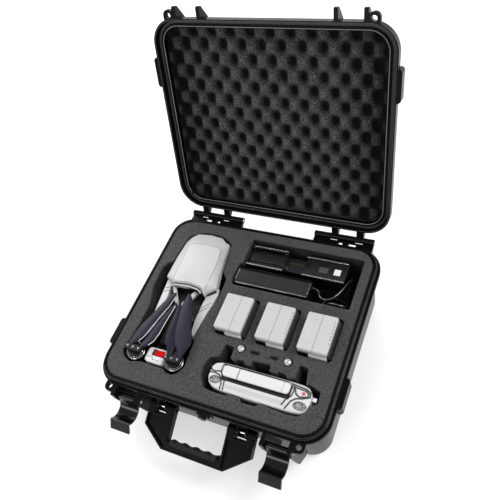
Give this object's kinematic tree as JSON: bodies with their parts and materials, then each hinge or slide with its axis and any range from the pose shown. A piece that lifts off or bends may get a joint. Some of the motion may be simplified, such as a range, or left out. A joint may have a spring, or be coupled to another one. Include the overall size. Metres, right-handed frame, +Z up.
{
  "type": "drone carrying case",
  "caption": "Hard latching carry case with a hinged lid, handle and cut foam that holds a folded quadcopter, controller, batteries and charger that lift out.",
  "frame": {"origin": "centre of the base footprint, on the floor under the case", "axes": "+X to the right along the hinge line, +Y from the handle to the hinges, +Z up"},
  "size_m": [0.351, 0.5037, 0.3922],
  "materials": {
    "shell_black": "satin",
    "foam_grey": "matte",
    "foam_black": "matte",
    "seal_rubber": "matte",
    "grip_rubber": "matte",
    "pin_steel": "polished",
    "drone_dark": "matte",
    "drone_white": "satin",
    "drone_deck_grey": "matte",
    "motor_dark": "satin",
    "ring_steel": "polished",
    "screw_steel": "polished",
    "blade_violet": "satin",
    "window_red": "gloss",
    "control_silver": "satin",
    "control_white": "satin",
    "control_recess": "satin",
    "button_red": "gloss",
    "charger_black": "satin",
    "rail_silver": "gloss",
    "contact_gold": "polished",
    "label_white": "matte",
    "button_grey": "matte",
    "cord_black": "satin",
    "stick_silver": "satin",
    "plug_steel": "polished",
    "battery_dark": "matte",
    "battery_grey": "satin",
    "battery_tab": "satin"
  },
  "bodies": {
    "base": {"base_shell": "shell_black", "base_foam": "foam_grey", "base_foam_floor": "foam_grey", "hinge_pins": "pin_steel", "latch_pins": "pin_steel", "handle_pins": "pin_steel", "valve_body": "shell_black"},
    "lid": {"lid_shell": "shell_black", "lid_gasket": "seal_rubber", "lid_foam": "foam_black"},
    "left_latch": {"latch_left": "shell_black"},
    "right_latch": {"latch_right": "shell_black"},
    "handle": {"handle_frame": "shell_black", "handle_grip": "grip_rubber"},
    "valve": {"valve_knob": "shell_black"},
    "drone": {"drone_belly": "drone_dark", "drone_shell": "drone_white", "drone_deck": "drone_deck_grey", "drone_arm_left": "drone_white", "drone_arm_right": "drone_white", "drone_motor_arms": "drone_dark", "drone_struts": "drone_white", "drone_motors": "motor_dark", "motor_rings": "ring_steel", "propeller_hubs": "motor_dark", "hub_screws": "screw_steel", "blades_left": "blade_violet", "blades_right": "blade_violet", "gimbal_guard": "drone_white", "gimbal_window": "window_red"},
    "controller": {"controller_body": "control_silver", "controller_cover": "control_white", "controller_sticks": "control_recess", "controller_button": "button_red"},
    "charger": {"power_adapter": "charger_black", "charger_hub": "charger_black", "hub_rails": "rail_silver", "hub_contacts": "contact_gold", "hub_labels": "label_white", "hub_buttons": "button_grey", "cord_gland": "charger_black", "charger_cord": "cord_black", "cord_plug": "charger_black"},
    "spare_stick_left": {"stick_left": "stick_silver"},
    "spare_stick_right": {"stick_right": "stick_silver"},
    "spare_plug_left": {"plug_left": "plug_steel"},
    "spare_plug_right": {"plug_right": "plug_steel"},
    "battery_1": {"battery_1_body": "battery_dark", "battery_1_top": "battery_grey", "battery_1_tabs": "battery_tab"},
    "battery_2": {"battery_2_body": "battery_dark", "battery_2_top": "battery_grey", "battery_2_tabs": "battery_tab"},
    "battery_3": {"battery_3_body": "battery_dark", "battery_3_top": "battery_grey", "battery_3_tabs": "battery_tab"}
  },
  "joints": [
    {"name": "lid_hinge", "type": "hinge", "parent": "base", "child": "lid", "pos_m": [0, 0.1591, 0.0931], "axis": [-1, 0, 0], "range_deg": [-110.3, 0]},
    {"name": "left_latch_pivot", "type": "hinge", "parent": "base", "child": "left_latch", "pos_m": [-0.112, -0.1552, 0.0778], "axis": [1, 0, 0], "range_deg": [-123.8, 0]},
    {"name": "right_latch_pivot", "type": "hinge", "parent": "base", "child": "right_latch", "pos_m": [0.112, -0.1552, 0.0778], "axis": [1, 0, 0], "range_deg": [-123.8, 0]},
    {"name": "handle_pivot", "type": "hinge", "parent": "base", "child": "handle", "pos_m": [0, -0.149, 0.071], "axis": [1, 0, 0], "range_deg": [-25, 62]},
    {"name": "valve_turn", "type": "hinge", "parent": "base", "child": "valve", "pos_m": [0.006, -0.15, 0.087], "axis": [0, -1, 0], "range_deg": [0, 300]},
    {"name": "drone_lift", "type": "slide", "parent": "base", "child": "drone", "axis": [0, 0, 1], "range_m": [0, 0.12]},
    {"name": "controller_lift", "type": "slide", "parent": "base", "child": "controller", "axis": [0, 0, 1], "range_m": [0, 0.11]},
    {"name": "battery_1_lift", "type": "slide", "parent": "base", "child": "battery_1", "axis": [0, 0, 1], "range_m": [0, 0.1]},
    {"name": "battery_2_lift", "type": "slide", "parent": "base", "child": "battery_2", "axis": [0, 0, 1], "range_m": [0, 0.1]},
    {"name": "battery_3_lift", "type": "slide", "parent": "base", "child": "battery_3", "axis": [0, 0, 1], "range_m": [0, 0.1]},
    {"name": "charger_lift", "type": "slide", "parent": "base", "child": "charger", "axis": [0, 0, 1], "range_m": [0, 0.1]},
    {"name": "spare_stick_left_lift", "type": "slide", "parent": "base", "child": "spare_stick_left", "axis": [0, 0, 1], "range_m": [0, 0.04]},
    {"name": "spare_stick_right_lift", "type": "slide", "parent": "base", "child": "spare_stick_right", "axis": [0, 0, 1], "range_m": [0, 0.04]},
    {"name": "spare_plug_left_lift", "type": "slide", "parent": "base", "child": "spare_plug_left", "axis": [0, 0, 1], "range_m": [0, 0.04]},
    {"name": "spare_plug_right_lift", "type": "slide", "parent": "base", "child": "spare_plug_right", "axis": [0, 0, 1], "range_m": [0, 0.04]}
  ]
}
